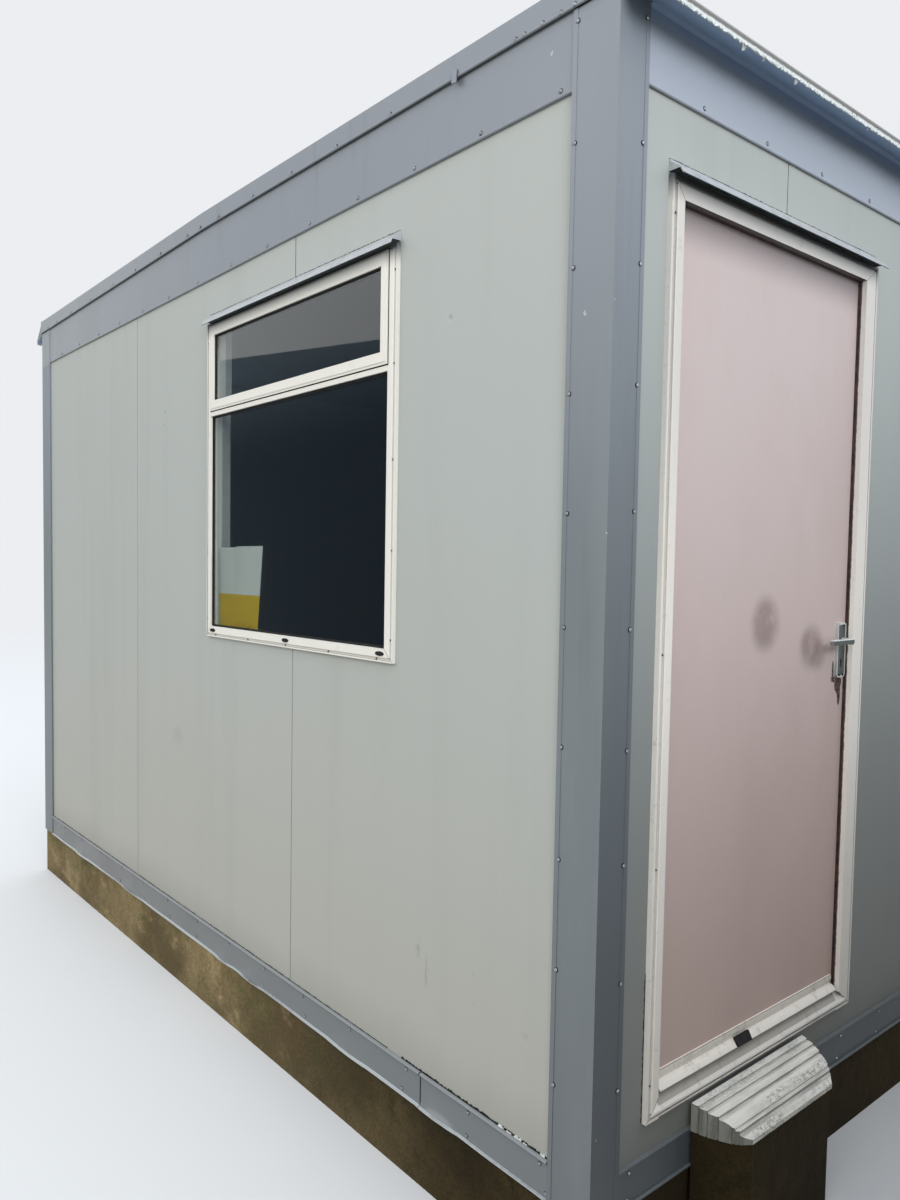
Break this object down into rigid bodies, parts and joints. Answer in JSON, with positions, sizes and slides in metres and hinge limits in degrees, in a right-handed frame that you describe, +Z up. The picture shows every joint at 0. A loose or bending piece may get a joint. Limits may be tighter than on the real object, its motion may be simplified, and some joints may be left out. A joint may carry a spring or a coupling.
{
  "type": "portable site cabin",
  "caption": "Small panel-built site cabin on a low concrete plinth, with a hinged side door, a framed window with a top light, rain hoods and a fluted door step.",
  "frame": {"origin": "middle of the concrete plinth's bottom face, at ground level", "axes": "+Z up, +Y along the cabin's length away from the door wall, -X out of the window wall, -Y out of the door wall"},
  "size_m": [2.5858, 3.796, 2.866],
  "materials": {
    "plinth_concrete": "rough, stained olive and brown",
    "step_concrete": "white painted, mottled black",
    "floor_covering": "matt sheet floor",
    "ceiling_lining": "matt white lining",
    "roof_coating": "weathered coated sheet",
    "wall_paint": "satin, light grey-green",
    "trim_paint": "satin, blue grey",
    "hood_paint": "satin, pale grey",
    "frame_coating": "off-white, slightly soiled",
    "door_frame_coating": "off-white, slightly soiled",
    "window_glass": "clear sealed pane",
    "door_paint": "satin, faded pink grey",
    "hardware_metal": "satin, dulled"
  },
  "bodies": {
    "cabin": {"back_wall_fascia": "trim_paint", "back_wall_flashing": "trim_paint", "back_wall_left_panel": "wall_paint", "back_wall_middle_panel": "wall_paint", "back_wall_right_panel": "wall_paint", "concrete_plinth": "plinth_concrete", "door_frame": "door_frame_coating", "door_hood": "hood_paint", "door_sill": "door_frame_coating", "door_step": "step_concrete", "door_wall_fascia": "trim_paint", "door_wall_flashing": "trim_paint", "door_wall_left_panel": "wall_paint", "door_wall_middle_panel": "wall_paint", "door_wall_over_door_left": "wall_paint", "door_wall_over_door_right": "wall_paint", "door_wall_right_panel": "wall_paint", "door_wall_under_door": "wall_paint", "far_side_verge_trim": "trim_paint", "far_side_wall_fascia": "trim_paint", "far_side_wall_flashing": "trim_paint", "far_side_wall_front_panel": "wall_paint", "far_side_wall_middle_panel": "wall_paint", "far_side_wall_rear_panel": "wall_paint", "floor_deck": "floor_covering", "front_eave_capping": "trim_paint", "front_far_side_corner_post": "trim_paint", "front_window_side_corner_post": "trim_paint", "hinge_frame_halves": "hardware_metal", "rear_eave_capping": "trim_paint", "rear_far_side_corner_post": "trim_paint", "rear_window_side_corner_post": "trim_paint", "roof_deck": "ceiling_lining", "roof_sheet": "roof_coating", "step_footing": "plinth_concrete", "vent_sash": "frame_coating", "window_frame": "frame_coating", "window_glass": "window_glass", "window_hood": "hood_paint", "window_inner_trim": "frame_coating", "window_side_verge_trim": "trim_paint", "window_wall_fascia": "trim_paint", "window_wall_flashing_front": "trim_paint", "window_wall_flashing_rear": "trim_paint", "window_wall_front_panel": "wall_paint", "window_wall_middle_panel": "wall_paint", "window_wall_rear_panel": "wall_paint"},
    "door": {"door_leaf": "door_paint", "weather_bar": "door_frame_coating", "handle_plates": "hardware_metal", "hinge_leaf_halves": "hardware_metal"},
    "lever": {"lever_handle": "hardware_metal"}
  },
  "joints": [
    {"name": "door_hinge", "type": "hinge", "parent": "cabin", "child": "door", "pos_m": [-1.063, -1.734, 1.4], "axis": [0, 0, 1], "range_deg": [0, 90]},
    {"name": "lever_turn", "type": "hinge", "parent": "door", "child": "lever", "pos_m": [-0.228, -1.78, 1.435], "axis": [0, -1, 0], "range_deg": [0, 40], "stiffness_Nm_per_rad": 2, "springref_deg": -17.19}
  ]
}
